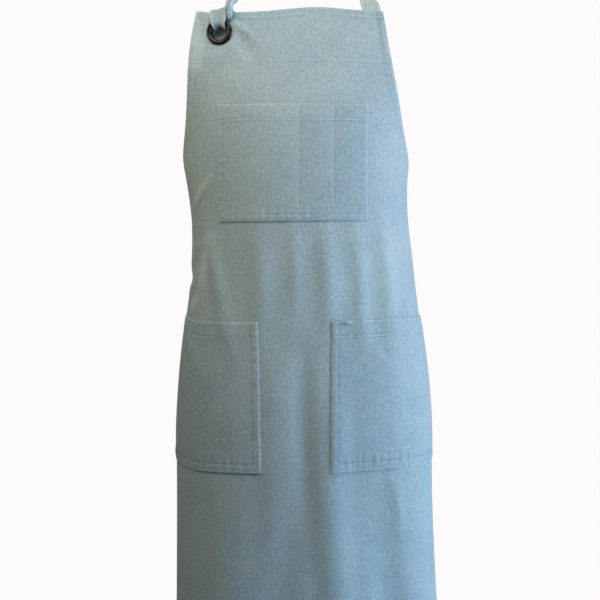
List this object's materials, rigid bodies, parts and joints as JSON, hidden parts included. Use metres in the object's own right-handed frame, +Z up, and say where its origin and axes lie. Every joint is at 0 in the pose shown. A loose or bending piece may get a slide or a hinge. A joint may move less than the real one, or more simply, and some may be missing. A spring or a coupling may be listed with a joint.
{
  "type": "bib apron",
  "caption": "Cotton chambray bib apron in its worn form: bib with divided chest pocket and metal eyelet, wrapped skirt with hip pockets, neck strap and tied waist ties.",
  "frame": {"origin": "on the inner face of the neck strap at the nape, at half the strap's width, where the apron hangs", "axes": "+Z up along the wearer; +X to the right as seen from in front; +Y backwards, so the front of the apron faces -Y"},
  "size_m": [0.3739, 0.2415, 0.9451],
  "materials": {
    "chambray": "light blue cotton chambray, matt, white weft flecks",
    "strap_chambray": "folded and edge-stitched light blue chambray, matt",
    "eyelet_metal": "dark gunmetal, polished"
  },
  "bodies": {
    "root": {"panel": "chambray", "bib_facing": "chambray", "chest_pocket": "chambray", "hip_pocket_left": "chambray", "hip_pocket_right": "chambray", "neck_strap": "strap_chambray", "strap_loop": "strap_chambray", "strap_knot": "strap_chambray", "strap_tail": "strap_chambray", "waist_tie_left": "strap_chambray", "waist_tie_right": "strap_chambray", "waist_knot": "strap_chambray", "bow_loop_left": "strap_chambray", "bow_loop_right": "strap_chambray", "tie_end_left": "strap_chambray", "tie_end_right": "strap_chambray", "eyelet_flange": "eyelet_metal", "eyelet_washer": "eyelet_metal"}
  },
  "joints": []
}
